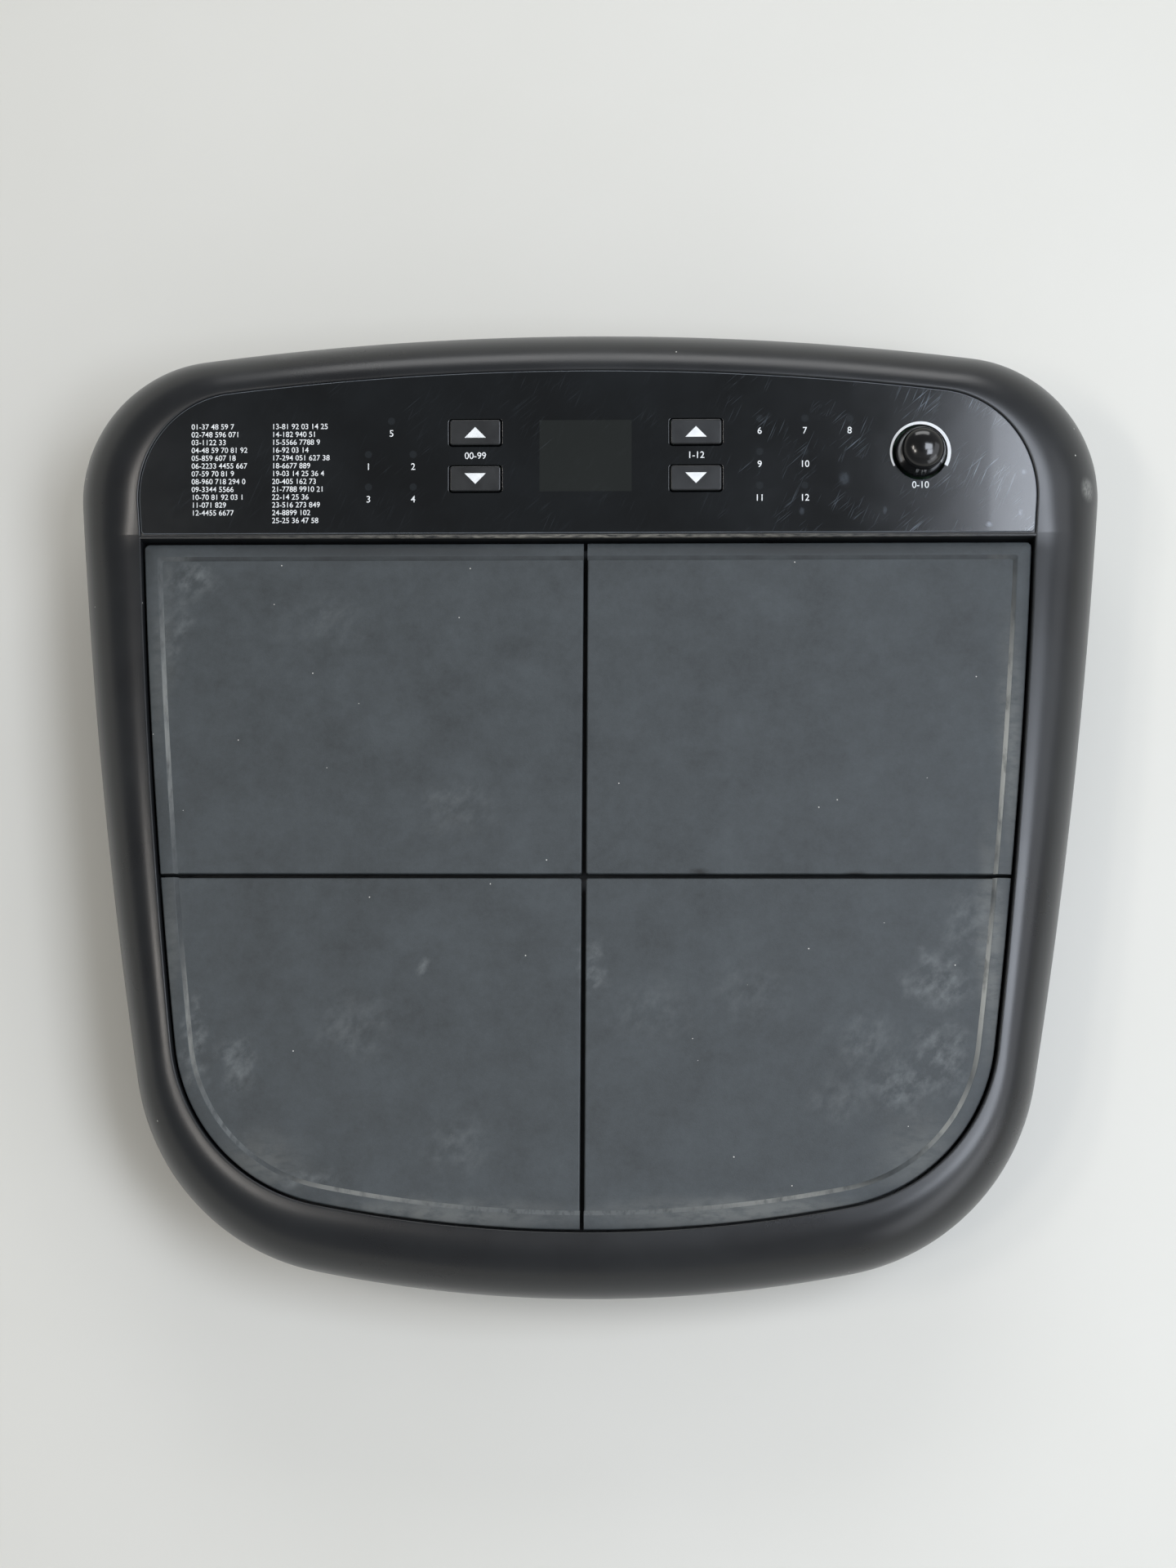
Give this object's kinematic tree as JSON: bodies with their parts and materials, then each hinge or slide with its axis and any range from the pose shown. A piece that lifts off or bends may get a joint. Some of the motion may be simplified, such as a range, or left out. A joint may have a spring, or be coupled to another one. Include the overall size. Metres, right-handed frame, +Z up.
{
  "type": "electronic drum pad",
  "caption": "Tabletop electronic percussion pad: rubber strike pads in a rounded black housing with a sloped control panel, display, buttons, volume knob and rear sockets.",
  "frame": {"origin": "on the table, under the middle of the footprint", "axes": "+X to the player's right, +Y to the rear, +Z up"},
  "size_m": [0.3226, 0.301, 0.0682],
  "materials": {
    "housing_abs": "satin black moulded, fine texture",
    "tray_abs": "plain moulded",
    "overlay_polycarbonate": "gloss with fine scratches",
    "pad_rubber": "moulded matt rubber",
    "pad_steel": "rolled sheet",
    "piezo_brass": "rolled",
    "pad_foam": "open cell foam",
    "wire_pvc": "extruded",
    "button_abs": "satin moulded, printed arrows",
    "switch_nylon": "moulded",
    "knob_abs": "gloss black",
    "plated_steel": "zinc plated",
    "jack_plate_steel": "black powder coat",
    "display_epoxy": "tinted epoxy",
    "led_epoxy": "tinted epoxy",
    "circuit_board": "solder resist",
    "header_nylon": "moulded",
    "foot_rubber": "moulded"
  },
  "bodies": {
    "chassis": {"top_housing": "housing_abs", "bottom_housing": "housing_abs", "pad_tray": "tray_abs", "panel_overlay": "overlay_polycarbonate", "mount_inserts": "piezo_brass", "pad_foam_1": "pad_foam", "pad_foam_2": "pad_foam", "pad_foam_3": "pad_foam", "pad_foam_4": "pad_foam", "pad_lead_1": "wire_pvc", "pad_lead_2": "wire_pvc", "pad_lead_3": "wire_pvc", "pad_lead_4": "wire_pvc", "ribbon_cable": "wire_pvc", "tact_switches": "switch_nylon", "pot_body": "switch_nylon", "control_chips": "switch_nylon", "ribbon_headers": "switch_nylon", "power_parts": "switch_nylon", "kick_jack": "switch_nylon", "left_output_jack": "switch_nylon", "right_output_jack": "switch_nylon", "phones_jack": "switch_nylon", "data_socket": "switch_nylon", "dc_inlet": "switch_nylon", "power_switch": "switch_nylon", "jack_nuts": "plated_steel", "case_screws": "plated_steel", "tray_screws": "plated_steel", "board_screws": "plated_steel", "jack_plate": "jack_plate_steel", "led_display": "display_epoxy", "indicator_leds": "led_epoxy", "control_board": "circuit_board", "jack_board": "circuit_board", "pad_header": "header_nylon", "rubber_feet": "foot_rubber"},
    "pad_1": {"pad_skin_1": "pad_rubber", "pad_plate_1": "pad_steel", "pad_piezo_1": "piezo_brass"},
    "pad_2": {"pad_skin_2": "pad_rubber", "pad_plate_2": "pad_steel", "pad_piezo_2": "piezo_brass"},
    "pad_3": {"pad_skin_3": "pad_rubber", "pad_plate_3": "pad_steel", "pad_piezo_3": "piezo_brass"},
    "pad_4": {"pad_skin_4": "pad_rubber", "pad_plate_4": "pad_steel", "pad_piezo_4": "piezo_brass"},
    "value_up": {"value_up_button": "button_abs", "value_up_plunger": "switch_nylon"},
    "value_down": {"value_down_button": "button_abs", "value_down_plunger": "switch_nylon"},
    "select_up": {"select_up_button": "button_abs", "select_up_plunger": "switch_nylon"},
    "select_down": {"select_down_button": "button_abs", "select_down_plunger": "switch_nylon"},
    "volume_control": {"volume_knob": "knob_abs", "pot_shaft": "plated_steel"},
    "power_control": {"power_slider": "header_nylon"}
  },
  "joints": [
    {"name": "pad_1_press", "type": "slide", "parent": "chassis", "child": "pad_1", "axis": [0, 0, -1], "range_m": [0, 0.001], "stiffness_N_per_m": 20000, "springref_m": -0.0003, "deforming": ["pad_foam_1", "pad_lead_1"]},
    {"name": "pad_2_press", "type": "slide", "parent": "chassis", "child": "pad_2", "axis": [0, 0, -1], "range_m": [0, 0.001], "stiffness_N_per_m": 20000, "springref_m": -0.0003, "deforming": ["pad_foam_2", "pad_lead_2"]},
    {"name": "pad_3_press", "type": "slide", "parent": "chassis", "child": "pad_3", "axis": [0, 0, -1], "range_m": [0, 0.001], "stiffness_N_per_m": 20000, "springref_m": -0.0003, "deforming": ["pad_foam_3", "pad_lead_3"]},
    {"name": "pad_4_press", "type": "slide", "parent": "chassis", "child": "pad_4", "axis": [0, 0, -1], "range_m": [0, 0.001], "stiffness_N_per_m": 20000, "springref_m": -0.0003, "deforming": ["pad_foam_4", "pad_lead_4"]},
    {"name": "value_up_press", "type": "slide", "parent": "chassis", "child": "value_up", "axis": [0, 0.2079, -0.9781], "range_m": [0, 0.0006], "stiffness_N_per_m": 2500, "springref_m": -0.0003},
    {"name": "value_down_press", "type": "slide", "parent": "chassis", "child": "value_down", "axis": [0, 0.2079, -0.9781], "range_m": [0, 0.0006], "stiffness_N_per_m": 2500, "springref_m": -0.0003},
    {"name": "select_up_press", "type": "slide", "parent": "chassis", "child": "select_up", "axis": [0, 0.2079, -0.9781], "range_m": [0, 0.0006], "stiffness_N_per_m": 2500, "springref_m": -0.0003},
    {"name": "select_down_press", "type": "slide", "parent": "chassis", "child": "select_down", "axis": [0, 0.2079, -0.9781], "range_m": [0, 0.0006], "stiffness_N_per_m": 2500, "springref_m": -0.0003},
    {"name": "volume_turn", "type": "hinge", "parent": "chassis", "child": "volume_control", "pos_m": [0.1033, 0.10536, 0.05718], "axis": [0, -0.2079, 0.9781], "range_deg": [-150, 150]},
    {"name": "power_slide", "type": "slide", "parent": "chassis", "child": "power_control", "axis": [1, 0, 0], "range_m": [0, 0.004]}
  ]
}
